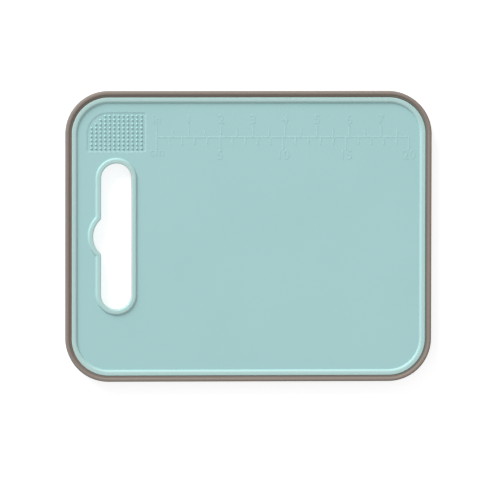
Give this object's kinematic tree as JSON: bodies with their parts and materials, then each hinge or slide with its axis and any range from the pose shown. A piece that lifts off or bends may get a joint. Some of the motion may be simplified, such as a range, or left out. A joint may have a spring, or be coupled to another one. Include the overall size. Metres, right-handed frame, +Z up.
{
  "type": "cutting board",
  "caption": "Flat rounded cutting board with a soft moulded rim, a raised lip, a long hand slot with a hook notch, a studded grater pocket and a raised ruler.",
  "frame": {"origin": "on the table under the middle of the board", "axes": "+X along the board's length away from the hand slot, +Y across it towards the grater pocket, +Z up out of the working face"},
  "size_m": [0.29, 0.23, 0.011],
  "materials": {
    "mint_plastic": "satin",
    "rim_rubber": "matte"
  },
  "bodies": {
    "root": {"cutting_panel": "mint_plastic", "soft_rim": "rim_rubber"}
  },
  "joints": []
}
